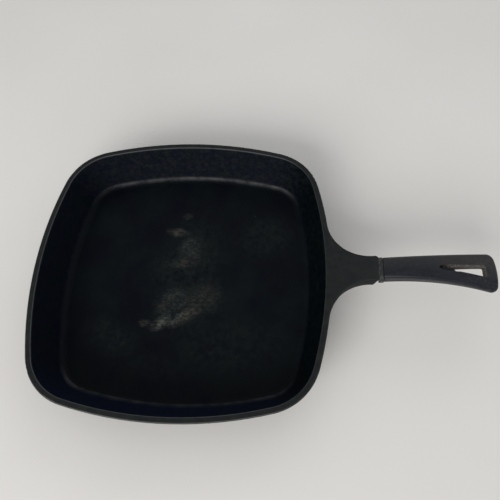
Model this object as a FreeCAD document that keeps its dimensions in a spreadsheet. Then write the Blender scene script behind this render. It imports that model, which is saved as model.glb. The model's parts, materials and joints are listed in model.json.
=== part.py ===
"""Square cast iron skillet with a moulded grip, as a parametric FreeCAD document.

Millimetres, +Z up. The origin is the centre of the ground foot, on the surface that the skillet
stands on, and the handle points along +X.

The pan, its flared web, the neck and the tenon are one casting. A metal ferrule and the moulded
grip slide on to the tenon, and one long slotted screw with a lock washer pulls them against the
neck. The screw's head sits in a recess inside the grip. The recess runs on into the hanging slot and
breaks through the grip's top in front of it. The ferrule, grip, screw and washer are drawn in the
handle frame: x along the screw, from the end of the neck.
"""

import FreeCAD, Part
import math
import os

import Sketcher
from FreeCAD import Placement, Rotation, Vector

SIZES = [
    # bowl of the casting
    ("pan_height", 41.0, "foot to rim"),
    ("rim_half", 127.9, "centre to the outside of the rim, at mid-side"),
    ("rim_side_radius", 326.0, "bow of a side at the rim, outside"),
    ("rim_corner_radius", 49.0, "corner at the rim, outside"),
    ("rim_thickness", 5.2, "width of the rim before its edges are rounded"),
    ("wall_draft", 18.4, "slope of the wall from upright, degrees"),
    ("floor_level", 5.2, "foot to cooking floor"),
    ("floor_half", 110.4, "centre to the corner between floor and wall, at mid-side"),
    ("floor_side_radius", 330.0, "bow of a side at the floor"),
    ("floor_corner_radius", 27.5, "corner at the floor"),
    ("floor_fillet", 6.5, "round between floor and wall"),
    ("foot_height", 1.0, "step of the ground foot"),
    ("foot_inset", 11.0, "foot's edge inside the outer wall's line at the base"),
    ("base_round", 7.0, "round between wall and base"),
    ("mouth_round", 0.8, "round on the inner edge of the rim"),
    ("edge_round", 1.2, "round on the outer edge of rim, web and neck"),
    # web and neck of the casting
    ("web_depth", 6.2, "rim down to the underside of the web"),
    ("flare_radius", 36.0, "sweep from the side of the pan into the neck"),
    ("neck_half", 10.6, "half width of the neck, at the rim's level"),
    ("neck_draft", 4.0, "slope of the neck's cheeks from upright, degrees"),
    ("rise_start", 123.8, "centre to where the top of the web starts to rise"),
    ("rise_angle", 9.6, "slope of the web's top, degrees"),
    ("rise_round", 10.0, "sweep from the flat rim into the web's slope"),
    ("neck_end", 165.0, "centre to the end of the neck, on the screw's axis"),
    ("axis_lift", 1.1, "screw's axis above the rim, at the end of the neck"),
    ("handle_tilt", 8.0, "slope of the screw's axis, degrees"),
    ("neck_corner", 3.2, "upright corners of the neck's end"),
    ("gusset_half", 6.0, "half width of the rib under the web"),
    ("gusset_drop", 27.0, "rim down to where the rib leaves the wall"),
    ("gusset_reach", 157.0, "centre to the end of the rib"),
    ("gusset_radius", 62.0, "sweep of the rib's lower edge"),
    ("tenon_half", 6.0, "half width of the tenon"),
    ("tenon_rise", 3.2, "half height of the tenon"),
    ("tenon_length", 14.0, "tenon beyond the neck"),
    ("tenon_end_gap", 0.9, "room beyond the tenon's end, in the grip"),
    ("tenon_corner", 2.5, "corners of the tenon"),
    ("tenon_gap", 0.2, "clearance round the tenon"),
    ("thread_reach", 9.0, "tapped hole beyond the neck's end, into the neck"),
    # ferrule
    ("way_out", 12.0, "how far a solid that is cut back runs past its final face"),
    ("seat_gap", 0.05, "joint line between stacked pieces"),
    ("ferrule_length", 4.2, "ferrule along the screw's axis"),
    ("ferrule_half", 10.5, "half width of the ferrule"),
    ("ferrule_rise", 6.0, "half height of the ferrule"),
    ("ferrule_corner", 5.0, "corners of the ferrule"),
    ("ferrule_round", 0.5, "round on the ferrule's edges"),
    # grip, side view
    ("arch_station", 12.4, "neck to the crown of the top"),
    ("arch_top", 6.69, "crown of the top above the axis"),
    ("arch_radius", 177.0, "arch of the top"),
    ("belly_station", 23.4, "neck to the crown of the underside"),
    ("belly_bottom", 4.63, "crown of the underside below the axis"),
    ("belly_radius", 177.0, "arch of the underside"),
    # grip, plan view
    ("draw_tilt", 11.0, "mould's draw direction from square to the axis, degrees"),
    ("grip_length", 96.9, "neck to the end of the grip"),
    ("waist_station", 1.0, "narrowest point of the plan's line, behind the neck's end"),
    ("waist_half", 9.1, "half width at the waist"),
    ("side_radius", 545.0, "hollow of the sides"),
    ("end_corner", 6.5, "end corners"),
    ("end_radius", 52.0, "bow of the end"),
    ("long_round", 2.5, "round on the long edges"),
    ("front_round", 0.8, "round on the front edge"),
    # hanging slot
    ("slot_start", 60.7, "neck to the narrow end of the slot"),
    ("slot_end", 85.3, "neck to the wide end of the slot"),
    ("slot_narrow", 1.4, "radius of the narrow end, just below the grip"),
    ("slot_wide", 4.0, "half width at the wide end, just below the grip"),
    ("slot_corner", 0.9, "corners of the wide end, just below the grip"),
    ("slot_round", 0.8, "round on the slot's edges"),
    ("slot_draft", 5.0, "flare of the slot towards the top, degrees"),
    # screw and washer
    ("screw_radius", 1.75, "thread"),
    ("screw_length", 50.0, "under the head"),
    ("screw_point", 0.5, "chamfer of the point"),
    ("screw_play", 0.05, "clearance in the tapped hole"),
    ("bore_radius", 2.0, "screw's way through the grip"),
    ("head_radius", 2.9, "cheese head"),
    ("head_height", 2.6, "cheese head"),
    ("head_round", 0.3, "edge of the head"),
    ("drive_width", 1.0, "screwdriver slot"),
    ("drive_depth", 1.2, "screwdriver slot"),
    ("recess_radius", 3.1, "recess for the head"),
    ("recess_start", 43.6, "neck to the seat of the washer"),
    ("recess_end", 80.0, "neck to where the recess has run out of the grip's top"),
    ("washer_thickness", 0.9, "lock washer"),
    ("washer_radius", 2.85, "lock washer, outside"),
    ("washer_bore", 1.9, "lock washer, inside"),
    ("washer_split", 0.6, "gap of the split"),
]
NODES = ["pan_casting", "ferrule", "grip", "handle_screw", "lock_washer"]

doc = FreeCAD.newDocument("square_skillet")
sheet = doc.addObject("Spreadsheet::Sheet", "sizes")


def fill_sheet():
    for row, (alias, value, note) in enumerate(SIZES, start=1):
        sheet.set(f"A{row}", alias)
        sheet.set(f"B{row}", str(value))
        sheet.set(f"C{row}", note)
        sheet.setAlias(f"B{row}", alias)
    doc.recompute()


def size(alias):
    return float(sheet.get(alias))


def linked(formula):
    """A formula on aliases, with each alias pointed at the sheet."""
    words = formula.replace("(", "( ").replace(")", " )").split()
    aliases = {alias for alias, _, _ in SIZES}
    return " ".join(f"sizes.{w}" if w in aliases else w for w in words)


def bind(thing, prop, formula):
    thing.setExpression(prop, linked(formula))


def draft_shift(depth):
    """How far the drafted outer wall moves inwards over a depth."""
    return depth * math.tan(math.radians(size("wall_draft")))


def new_body(name, in_handle=False):
    body = doc.addObject("PartDesign::Body", name)
    body.Label = name
    if in_handle:
        body.Placement = Placement(Vector(0, 0, 0), Rotation(Vector(0, -1, 0), size("handle_tilt")))
        bind(body, "Placement.Base.x", "neck_end")
        bind(body, "Placement.Base.z", "pan_height + axis_lift")
        bind(body, "Placement.Rotation.Angle", "handle_tilt")
    return body


def new_sketch(body, name, role, offset=None):
    """A sketch on one of the body's own planes. offset is a Placement in the sketch's frame."""
    plane = next(f for f in body.Origin.OriginFeatures if f.Role == role)
    sketch = body.newObject("Sketcher::SketchObject", name)
    sketch.AttachmentSupport = [(plane, "")]
    sketch.MapMode = "FlatFace"
    if offset is not None:
        sketch.AttachmentOffset = offset
    return sketch


def level_sketch(body, name, level):
    """A horizontal sketch at a height given by a formula."""
    sketch = new_sketch(body, name, "XY_Plane")
    bind(sketch, "AttachmentOffset.Base.z", level)
    return sketch


def cross_sketch(body, name, station):
    """A sketch across the handle frame's x, at a station given by a formula."""
    sketch = new_sketch(body, name, "YZ_Plane")
    bind(sketch, "AttachmentOffset.Base.z", station)
    return sketch


class Outline:
    """A closed outline: pieces are added in order and each is joined to the one before."""

    def __init__(self, sketch):
        self.sketch = sketch
        self.pieces = []

    def arc(self, centre, radius, start, end, smooth=True):
        """An arc from angle start to angle end, in degrees, turning left if end is larger."""
        circle = Part.Circle(Vector(*centre, 0), Vector(0, 0, 1), radius)
        low, high = sorted((math.radians(start), math.radians(end)))
        index = self.sketch.addGeometry(Part.ArcOfCircle(circle, low, high), False)
        ends = (1, 2) if end > start else (2, 1)
        return self._add(index, ends, smooth)

    def line(self, start, end, smooth=False):
        index = self.sketch.addGeometry(Part.LineSegment(Vector(*start, 0), Vector(*end, 0)), False)
        return self._add(index, (1, 2), smooth)

    def _add(self, index, ends, smooth):
        """smooth says that the piece leaves the one before it on a tangent."""
        self.pieces.append((index, ends, smooth))
        if len(self.pieces) > 1:
            self._join(self.pieces[-2], self.pieces[-1])
        return index

    def close(self):
        self._join(self.pieces[-1], self.pieces[0])

    def _join(self, before, after):
        kind = "Tangent" if after[2] else "Coincident"
        self.sketch.addConstraint(
            Sketcher.Constraint(kind, before[0], before[1][1], after[0], after[1][0])
        )


def constrain(sketch, kind, *where, formula=None):
    """Adds a constraint. Its size, if it has one, is the formula's."""
    index = sketch.addConstraint(Sketcher.Constraint(kind, *where))
    if formula:
        bind(sketch, f"Constraints[{index}]", formula)


def place_centre(sketch, arc, x, y):
    """Pins the centre of an arc: x and y are each (value now, formula), or None for on the axis."""
    for kind, axis, at in (("DistanceX", -2, x), ("DistanceY", -1, y)):
        if at is None:
            constrain(sketch, "PointOnObject", arc, 3, axis)
        else:
            constrain(sketch, kind, -1, 1, arc, 3, at[0], formula=at[1])


def square_angles(half, side_radius, corner_radius):
    """Half the angle that a side arc spans, and the corner arc's centre, of a bowed square."""
    set_back = side_radius - half
    reach = side_radius - corner_radius
    corner = (math.sqrt(2 * reach**2 - set_back**2) - set_back) / 2
    return math.degrees(math.atan2(corner, corner + set_back)), corner


def bowed_square(sketch, half, side_radius, corner_radius):
    """A square with four bowed sides and four round corners. Each size is a formula and its value."""
    spread, corner = square_angles(half[1], side_radius[1], corner_radius[1])
    set_back = half[1] - side_radius[1]
    back_formula = f"{half[0]} - ( {side_radius[0]} )"
    fore_formula = f"{side_radius[0]} - ( {half[0]} )"
    outline = Outline(sketch)
    for quarter in range(4):
        turn = 90 * quarter
        ux, uy = [(1, 0), (0, 1), (-1, 0), (0, -1)][quarter]
        side = outline.arc((ux * set_back, uy * set_back), side_radius[1], turn - spread, turn + spread)
        vx, vy = [(1, 1), (-1, 1), (-1, -1), (1, -1)][quarter]
        bend = outline.arc(
            (vx * corner, vy * corner), corner_radius[1], turn + spread, turn + 90 - spread
        )
        formula = back_formula if quarter < 2 else fore_formula
        pinned = (ux * set_back or uy * set_back, formula)
        place_centre(sketch, side, pinned if ux else None, pinned if uy else None)
        constrain(sketch, "Radius", side, side_radius[1], formula=side_radius[0])
        constrain(sketch, "Radius", bend, corner_radius[1], formula=corner_radius[0])
    outline.close()


def inset_square(sketch, inset_formula, inset):
    """The rim's outside, moved inwards by an inset."""
    sizes = [(f"{a} - ( {inset_formula} )", size(a) - inset) for a in
             ("rim_half", "rim_side_radius", "rim_corner_radius")]
    bowed_square(sketch, *sizes)


def round_box(sketch, half, low, high, corner):
    """A rectangle with round corners, even about the upright axis. Each size is a formula and its value."""
    w, b, t, r = half[1], low[1], high[1], corner[1]
    outline = Outline(sketch)
    bottom = outline.line((r - w, -b), (w - r, -b), smooth=True)
    low_right = outline.arc((w - r, r - b), r, -90, 0)
    right = outline.line((w, r - b), (w, t - r), smooth=True)
    high_right = outline.arc((w - r, t - r), r, 0, 90)
    top = outline.line((w - r, t), (r - w, t), smooth=True)
    high_left = outline.arc((r - w, t - r), r, 90, 180)
    left = outline.line((-w, t - r), (-w, r - b), smooth=True)
    low_left = outline.arc((r - w, r - b), r, 180, 270)
    outline.close()
    for line in (bottom, top):
        constrain(sketch, "Horizontal", line)
    for line in (right, left):
        constrain(sketch, "Vertical", line)
    constrain(sketch, "Radius", low_right, r, formula=corner[0])
    for arc in (high_right, high_left, low_left):
        constrain(sketch, "Equal", low_right, arc)
    constrain(sketch, "DistanceX", -1, 1, right, 1, w, formula=half[0])
    constrain(sketch, "DistanceX", left, 1, -1, 1, w, formula=half[0])
    constrain(sketch, "DistanceY", -1, 1, top, 1, t, formula=high[0])
    constrain(sketch, "DistanceY", bottom, 1, -1, 1, b, formula=low[0])


def polygon(sketch, corners):
    """A closed run of straight lines through corners."""
    outline = Outline(sketch)
    lines = [outline.line(p, q) for p, q in zip(corners, corners[1:] + corners[:1])]
    outline.close()
    return lines


def extrude(body, kind, name, sketch, length=None, symmetric=False, reverse=False, taper=None):
    """A Pad or Pocket. With no length it goes through all, to both sides."""
    feature = body.newObject(kind, name)
    feature.Profile = sketch
    feature.Reversed = reverse
    if symmetric:
        feature.SideType = "Symmetric"
    if length is None:
        feature.Type = "ThroughAll"
    else:
        bind(feature, "Length", length)
    if taper:
        bind(feature, "TaperAngle", taper)
    sketch.Visibility = False
    doc.recompute()
    return feature


def round_edges(body, name, radius, wanted):
    """A Fillet on the edges of the body's last solid that wanted() picks."""
    base = body.Tip
    picked = [f"Edge{i}" for i, edge in enumerate(base.Shape.Edges, start=1) if wanted(edge)]
    if not picked:
        raise RuntimeError(f"{name}: no edge was picked")
    fillet = body.newObject("PartDesign::Fillet", name)
    fillet.Base = (base, picked)
    bind(fillet, "Radius", radius)
    doc.recompute()
    if not fillet.isValid():
        raise RuntimeError(f"{name}: the fillet failed on {len(picked)} edges")
    return fillet


def flat_at(edge, z):
    """Whether an edge lies in the horizontal plane z."""
    box = edge.BoundBox
    return abs(box.ZMin - z) < 1e-3 and abs(box.ZMax - z) < 1e-3


def web_outline(body, name, level, rise):
    """The outside of the rim with the flared web and the neck in one line, at a level.

    rise is the level above the rim, a formula. The rim part keeps the wall's draft, and the neck
    has the neck's own smaller one.
    """
    sketch = level_sketch(body, name, f"pan_height + {rise}")
    wall, cheek = draft_shift(level), level * math.tan(math.radians(size("neck_draft")))
    wall_formula, cheek_formula = f"( {rise} ) * tan( wall_draft )", f"( {rise} ) * tan( neck_draft )"
    half, side, bend = (size(a) + wall for a in ("rim_half", "rim_side_radius", "rim_corner_radius"))
    flare, neck = size("flare_radius") - wall, size("neck_half") + cheek
    end = size("neck_end") + size("way_out")
    spread, corner = square_angles(half, side, bend)
    set_back = half - side
    leave = math.degrees(math.asin((neck + flare) / (side + flare)))
    flare_x = set_back + (side + flare) * math.cos(math.radians(leave))
    outline = Outline(sketch)
    sides = [outline.arc((set_back, 0), side, leave, spread, smooth=True)]
    bends = [outline.arc((corner, corner), bend, spread, 90 - spread)]
    sides.append(outline.arc((0, set_back), side, 90 - spread, 90 + spread))
    bends.append(outline.arc((-corner, corner), bend, 90 + spread, 180 - spread))
    sides.append(outline.arc((-set_back, 0), side, 180 - spread, 180 + spread))
    bends.append(outline.arc((-corner, -corner), bend, 180 + spread, 270 - spread))
    sides.append(outline.arc((0, -set_back), side, 270 - spread, 270 + spread))
    bends.append(outline.arc((corner, -corner), bend, 270 + spread, 360 - spread))
    sides.append(outline.arc((set_back, 0), side, -spread, -leave))
    low_flare = outline.arc((flare_x, -neck - flare), flare, 180 - leave, 90)
    low_neck = outline.line((flare_x, -neck), (end, -neck), smooth=True)
    neck_tip = outline.line((end, -neck), (end, neck))
    high_neck = outline.line((end, neck), (flare_x, neck))
    high_flare = outline.arc((flare_x, neck + flare), flare, -90, -180 + leave)
    outline.close()
    back, fore = "rim_half - rim_side_radius", "rim_side_radius - rim_half"
    place_centre(sketch, sides[0], (set_back, back), None)
    place_centre(sketch, sides[1], None, (set_back, back))
    place_centre(sketch, sides[2], (-set_back, fore), None)
    place_centre(sketch, sides[3], None, (-set_back, fore))
    place_centre(sketch, sides[4], (set_back, back), None)
    for arc in sides:
        constrain(sketch, "Radius", arc, side, formula=f"rim_side_radius + {wall_formula}")
    for arc in bends:
        constrain(sketch, "Radius", arc, bend, formula=f"rim_corner_radius + {wall_formula}")
    for arc in (low_flare, high_flare):
        constrain(sketch, "Radius", arc, flare, formula=f"flare_radius - {wall_formula}")
    for line in (low_neck, high_neck):
        constrain(sketch, "Horizontal", line)
    constrain(sketch, "Vertical", neck_tip)
    constrain(sketch, "DistanceY", -1, 1, high_neck, 1, neck, formula=f"neck_half + {cheek_formula}")
    constrain(sketch, "DistanceY", low_neck, 1, -1, 1, neck, formula=f"neck_half + {cheek_formula}")
    constrain(sketch, "DistanceX", -1, 1, neck_tip, 1, end, formula="neck_end + way_out")
    return sketch


def add_web(body):
    """The rim's band and the web, from the web's underside to above its sloping top."""
    low = web_outline(body, "web_underside", -size("web_depth"), "( 0 - web_depth )")
    high = web_outline(body, "web_above", size("way_out"), "way_out")
    web = body.newObject("PartDesign::AdditiveLoft", "web")
    web.Profile = low
    web.Sections = [(high, [""])]
    web.Ruled = True
    low.Visibility = high.Visibility = False
    doc.recompute()
    return web


def add_bowl(body):
    """The drafted outer wall below the web's underside, then the ground foot."""
    lower = level_sketch(body, "wall_below_web", "pan_height - web_depth")
    inset_square(lower, "web_depth * tan( wall_draft )", draft_shift(size("web_depth")))
    extrude(body, "PartDesign::Pad", "wall", lower, "pan_height - web_depth - foot_height",
            reverse=True, taper="0 - wall_draft")
    foot = level_sketch(body, "foot_outline", "foot_height")
    inset_square(foot, "pan_height * tan( wall_draft ) + foot_inset",
                 draft_shift(size("pan_height")) + size("foot_inset"))
    extrude(body, "PartDesign::Pad", "foot", foot, "foot_height", reverse=True)


def add_gusset(body):
    """The rib under the web, from the wall to the neck, with a swept lower edge."""
    sketch = new_sketch(body, "gusset_side", "XZ_Plane")
    rim, under = size("pan_height"), size("pan_height") - size("web_depth")
    foot_z = rim - size("gusset_drop")
    foot_x = size("rim_half") - draft_shift(size("gusset_drop")) - size("rim_thickness") / 2
    reach, radius = size("gusset_reach"), size("gusset_radius")
    chord = Vector(reach - foot_x, under - foot_z, 0)
    middle = Vector((reach + foot_x) / 2, (under + foot_z) / 2, 0)
    rise = math.sqrt(radius**2 - (chord.Length / 2) ** 2)
    centre = middle + Vector(chord.y, -chord.x, 0).normalize() * rise
    start = math.degrees(math.atan2(foot_z - centre.y, foot_x - centre.x))
    finish = math.degrees(math.atan2(under - centre.y, reach - centre.x))
    outline = Outline(sketch)
    sweep = outline.arc((centre.x, centre.y), radius, start, finish, smooth=False)
    top = outline.line((reach, under), (foot_x, under))
    back = outline.line((foot_x, under), (foot_x, foot_z))
    outline.close()
    constrain(sketch, "Horizontal", top)
    constrain(sketch, "Vertical", back)
    constrain(sketch, "Radius", sweep, radius, formula="gusset_radius")
    constrain(sketch, "DistanceX", -1, 1, top, 1, reach, formula="gusset_reach")
    constrain(sketch, "DistanceY", -1, 1, top, 1, under, formula="pan_height - web_depth")
    constrain(sketch, "DistanceX", -1, 1, back, 2, foot_x,
              formula="rim_half - gusset_drop * tan( wall_draft ) - rim_thickness / 2")
    constrain(sketch, "DistanceY", -1, 1, back, 2, foot_z, formula="pan_height - gusset_drop")
    extrude(body, "PartDesign::Pad", "gusset", sketch, "2 * gusset_half", symmetric=True)


def trim_top(body):
    """Cuts the rim flat, the web's top to its slope, and the neck's end square to the screw."""
    sketch = new_sketch(body, "trim_side", "XZ_Plane")
    rim, start = size("pan_height"), size("rise_start")
    rise, tilt = math.radians(size("rise_angle")), math.radians(size("handle_tilt"))
    joint = Vector(size("neck_end"), rim + size("axis_lift"), 0)
    down = Vector(math.sin(tilt), -math.cos(tilt), 0)
    slope = Vector(math.cos(rise), math.sin(rise), 0)
    gap = Vector(start, rim, 0) - joint
    along = (gap.x * down.y - gap.y * down.x) / (down.x * slope.y - down.y * slope.x)
    peak = Vector(start, rim, 0) + slope * along
    past = size("way_out")
    low = joint + down * past
    left, right, high = -size("rim_half") - past, joint.x + 2 * past, rim + 2 * past
    corners = [(left, rim), (start, rim), (peak.x, peak.y), (low.x, low.y),
               (right, low.y), (right, high), (left, high)]
    flat, rising, end_face, floor, far, lid, near = polygon(sketch, corners)
    for line in (flat, floor, lid):
        constrain(sketch, "Horizontal", line)
    for line in (far, near):
        constrain(sketch, "Vertical", line)
    constrain(sketch, "DistanceY", -1, 1, flat, 2, rim, formula="pan_height")
    constrain(sketch, "DistanceX", -1, 1, flat, 2, start, formula="rise_start")
    constrain(sketch, "Angle", -1, 1, rising, 1, rise, formula="rise_angle")
    constrain(sketch, "Angle", end_face, 2, -2, 1, tilt, formula="handle_tilt")
    pin = sketch.addGeometry(Part.Point(joint), True)
    constrain(sketch, "PointOnObject", pin, 1, end_face)
    constrain(sketch, "DistanceX", -1, 1, pin, 1, joint.x, formula="neck_end")
    constrain(sketch, "DistanceY", -1, 1, pin, 1, joint.y, formula="pan_height + axis_lift")
    constrain(sketch, "DistanceX", -1, 1, far, 1, right, formula="neck_end + 2 * way_out")
    constrain(sketch, "DistanceX", near, 1, -1, 1, -left, formula="rim_half + way_out")
    constrain(sketch, "DistanceY", -1, 1, lid, 1, high, formula="pan_height + 2 * way_out")
    constrain(sketch, "DistanceY", -1, 1, floor, 1, low.y,
              formula="pan_height + axis_lift - way_out * cos( handle_tilt )")
    extrude(body, "PartDesign::Pocket", "trim", sketch, symmetric=True)


def cut_cavity(body):
    """The inside of the pan, from the mouth down to the cooking floor."""
    floor = level_sketch(body, "floor_outline", "floor_level")
    bowed_square(floor, *[(a, size(a)) for a in
                          ("floor_half", "floor_side_radius", "floor_corner_radius")])
    mouth = level_sketch(body, "mouth_outline", "pan_height")
    inset_square(mouth, "rim_thickness", size("rim_thickness"))
    cavity = body.newObject("PartDesign::SubtractiveLoft", "cavity")
    cavity.Profile = floor
    cavity.Sections = [(mouth, [""])]
    cavity.Ruled = True
    floor.Visibility = mouth.Visibility = False
    doc.recompute()


def axis_sketch(body, name, along):
    """A sketch in the casting, square to the screw's axis, at a distance beyond the neck's end."""
    tilt = math.radians(size("handle_tilt"))
    offset = Placement(Vector(0, 0, 0), Rotation(Vector(-1, 0, 0), math.degrees(tilt)))
    sketch = new_sketch(body, name, "YZ_Plane", offset)
    bind(sketch, "AttachmentOffset.Rotation.Angle", "handle_tilt")
    bind(sketch, "AttachmentOffset.Base.y", f"pan_height + axis_lift + {along} * sin( handle_tilt )")
    bind(sketch, "AttachmentOffset.Base.z", f"neck_end + {along} * cos( handle_tilt )")
    return sketch


def add_tenon(body):
    """The tenon that carries the ferrule and grip, and the tapped hole for the screw."""
    box = axis_sketch(body, "tenon_section", "0")
    round_box(box, *[(a, size(a)) for a in ("tenon_half", "tenon_rise", "tenon_rise", "tenon_corner")])
    extrude(body, "PartDesign::Pad", "tenon", box, "tenon_length")
    hole = axis_sketch(body, "thread_circle", "tenon_length")
    index = hole.addGeometry(
        Part.Circle(Vector(0, 0, 0), Vector(0, 0, 1), size("screw_radius") + size("screw_play")), False
    )
    constrain(hole, "Coincident", index, 3, -1, 1)
    constrain(hole, "Radius", index, size("screw_radius"), formula="screw_radius + screw_play")
    extrude(body, "PartDesign::Pocket", "tapped_hole", hole, "tenon_length + thread_reach")


# Fractions for telling edges apart: nearly all of a span, and most of a length.
NEARLY_ALL = 0.9
MOST = 0.8


def near(value, wanted, slack=0.02):
    return abs(value - wanted) < slack


def round_casting(body):
    """The rounds of the casting, in the order that leaves each one whole edges to follow."""
    rim, foot, end_x = size("pan_height"), size("foot_height"), size("neck_end")
    base_half = size("rim_half") - draft_shift(rim - foot)

    def neck_upright(edge):
        box = edge.BoundBox
        return (box.XMin > end_x - size("tenon_rise") and box.YLength < box.ZLength / 2
                and box.ZLength > size("web_depth") and abs(edge.CenterOfMass.y) > size("neck_half") / 2)

    def at_base(edge):
        centre = edge.CenterOfMass
        return flat_at(edge, foot) and max(abs(centre.x), abs(centre.y)) > base_half * NEARLY_ALL

    def at_mouth(edge):
        box = edge.BoundBox
        return flat_at(edge, rim) and box.XMax < size("rim_half") - size("rim_thickness") / 2 \
            and abs(edge.CenterOfMass.x) + abs(edge.CenterOfMass.y) > size("rim_half") / 2

    def at_outer_rim(edge):
        return flat_at(edge, rim) and edge.BoundBox.XMin < -size("rim_half") + 0.1

    def at_rise(edge):
        box = edge.BoundBox
        return flat_at(edge, rim) and near(box.XMin, size("rise_start")) and near(box.XLength, 0)

    round_edges(body, "neck_corners", "neck_corner", neck_upright)
    round_edges(body, "base_edge", "base_round", at_base)
    round_edges(body, "floor_edge", "floor_fillet", lambda e: flat_at(e, size("floor_level")))
    round_edges(body, "rise_edge", "rise_round", at_rise)
    round_edges(body, "outer_edge", "edge_round", at_outer_rim)
    round_edges(body, "mouth_edge", "mouth_round", at_mouth)


def make_pan_casting():
    body = new_body("pan_casting")
    add_web(body)
    add_bowl(body)
    add_gusset(body)
    trim_top(body)
    cut_cavity(body)
    round_casting(body)
    add_tenon(body)
    return body


def make_ferrule():
    """A flat-sided collar between the neck and the grip, round the tenon."""
    body = new_body("ferrule", in_handle=True)
    outside = cross_sketch(body, "ferrule_outside", "seat_gap")
    round_box(outside, *[(a, size(a)) for a in
                         ("ferrule_half", "ferrule_rise", "ferrule_rise", "ferrule_corner")])
    extrude(body, "PartDesign::Pad", "collar", outside, "ferrule_length")
    round_edges(body, "collar_edges", "ferrule_round", lambda e: e.BoundBox.XLength < 0.01)
    cut_tenon_way(body, "seat_gap", "ferrule_length")
    return body


def cut_tenon_way(body, station, length):
    """A pocket for the tenon with clearance all round."""
    sketch = cross_sketch(body, "tenon_way_section", station)
    names = ("tenon_half", "tenon_rise", "tenon_rise", "tenon_corner")
    round_box(sketch, *[(f"{a} + tenon_gap", size(a) + size("tenon_gap")) for a in names])
    return extrude(body, "PartDesign::Pocket", "tenon_way", sketch, length, reverse=True)


def draw_sketch(body, name):
    """A sketch square to the mould's draw direction, through the end of the neck."""
    sketch = new_sketch(body, name, "XY_Plane", Placement(Vector(), Rotation(Vector(0, 1, 0), 1)))
    bind(sketch, "AttachmentOffset.Rotation.Angle", "draw_tilt")
    return sketch


def add_grip_side(body):
    """The grip's side view as a slab: an arched top over a flatter arched underside."""
    sketch = new_sketch(body, "grip_side", "XZ_Plane")
    front = size("ferrule_length") + 2 * size("seat_gap")
    back = size("grip_length") + size("way_out")
    arch_r, belly_r = size("arch_radius"), size("belly_radius")
    arch = (size("arch_station"), size("arch_top") - arch_r)
    belly = (size("belly_station"), -size("belly_bottom") - belly_r)

    def height(centre, radius, x):
        return centre[1] + math.sqrt(radius**2 - (x - centre[0]) ** 2)

    def turn(centre, radius, x):
        return math.degrees(math.acos((x - centre[0]) / radius))

    ends = [(x, height(*curve, x)) for curve in ((arch, arch_r), (belly, belly_r)) for x in (front, back)]
    outline = Outline(sketch)
    top = outline.arc(arch, arch_r, turn(arch, arch_r, front), turn(arch, arch_r, back), smooth=False)
    tail = outline.line(ends[1], ends[3])
    low = outline.arc(belly, belly_r, turn(belly, belly_r, back), turn(belly, belly_r, front), smooth=False)
    face = outline.line(ends[2], ends[0])
    outline.close()
    constrain(sketch, "Vertical", tail)
    constrain(sketch, "Vertical", face)
    constrain(sketch, "DistanceX", -1, 1, face, 1, front, formula="ferrule_length + 2 * seat_gap")
    constrain(sketch, "DistanceX", -1, 1, tail, 1, back, formula="grip_length + way_out")
    constrain(sketch, "Radius", top, arch_r, formula="arch_radius")
    constrain(sketch, "Radius", low, belly_r, formula="belly_radius")
    place_centre(sketch, top, (arch[0], "arch_station"), (arch[1], "arch_top - arch_radius"))
    place_centre(sketch, low, (belly[0], "belly_station"), (belly[1], "0 - belly_bottom - belly_radius"))
    extrude(body, "PartDesign::Pad", "slab", sketch, "4 * waist_half", symmetric=True)


def trim_grip_plan(body):
    """Cuts the slab to its plan: hollow sides, round end corners and a bowed end."""
    sketch = draw_sketch(body, "grip_plan")
    side_r, bend_r, end_r = size("side_radius"), size("end_corner"), size("end_radius")
    side = Vector(-size("waist_station"), size("waist_half") + side_r, 0)
    tip = Vector(size("grip_length") - end_r, 0, 0)
    bend = meeting_point(side, side_r + bend_r, tip, end_r - bend_r)
    lift = math.degrees(math.atan2(bend.y, bend.x - tip.x))
    lean = math.degrees(math.atan2(bend.y - side.y, bend.x - side.x))
    outline = Outline(sketch)
    face = outline.line((side.x, size("waist_half")), (side.x, -size("waist_half")))
    low_side = outline.arc((side.x, -side.y), side_r, 90, -lean, smooth=False)
    low_bend = outline.arc((bend.x, -bend.y), bend_r, -lean - 180, -lift)
    end = outline.arc((tip.x, 0), end_r, -lift, lift)
    high_bend = outline.arc((bend.x, bend.y), bend_r, lift, lean + 180)
    high_side = outline.arc((side.x, side.y), side_r, lean, -90)
    outline.close()
    constrain(sketch, "Vertical", face)
    constrain(sketch, "DistanceX", face, 1, -1, 1, -side.x, formula="waist_station")
    for arc, mirror in ((low_side, -1), (high_side, 1)):
        constrain(sketch, "Radius", arc, side_r, formula="side_radius")
        centre_y = "waist_half + side_radius" if mirror > 0 else "0 - waist_half - side_radius"
        place_centre(sketch, arc, (side.x, "0 - waist_station"), (mirror * side.y, centre_y))
    for arc in (low_bend, high_bend):
        constrain(sketch, "Radius", arc, bend_r, formula="end_corner")
    constrain(sketch, "Radius", end, end_r, formula="end_radius")
    place_centre(sketch, end, (tip.x, "grip_length - end_radius"), None)
    frame_in(sketch)
    extrude(body, "PartDesign::Pocket", "plan", sketch, symmetric=True)


def meeting_point(first, first_radius, second, second_radius):
    """The point at given distances from two others, on the right going from second to first."""
    gap = (first - second).Length
    ahead = (first - second).normalize()
    along = (second_radius**2 - first_radius**2 + gap**2) / (2 * gap)
    return second + ahead * along + Vector(ahead.y, -ahead.x, 0) * math.sqrt(second_radius**2 - along**2)


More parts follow.
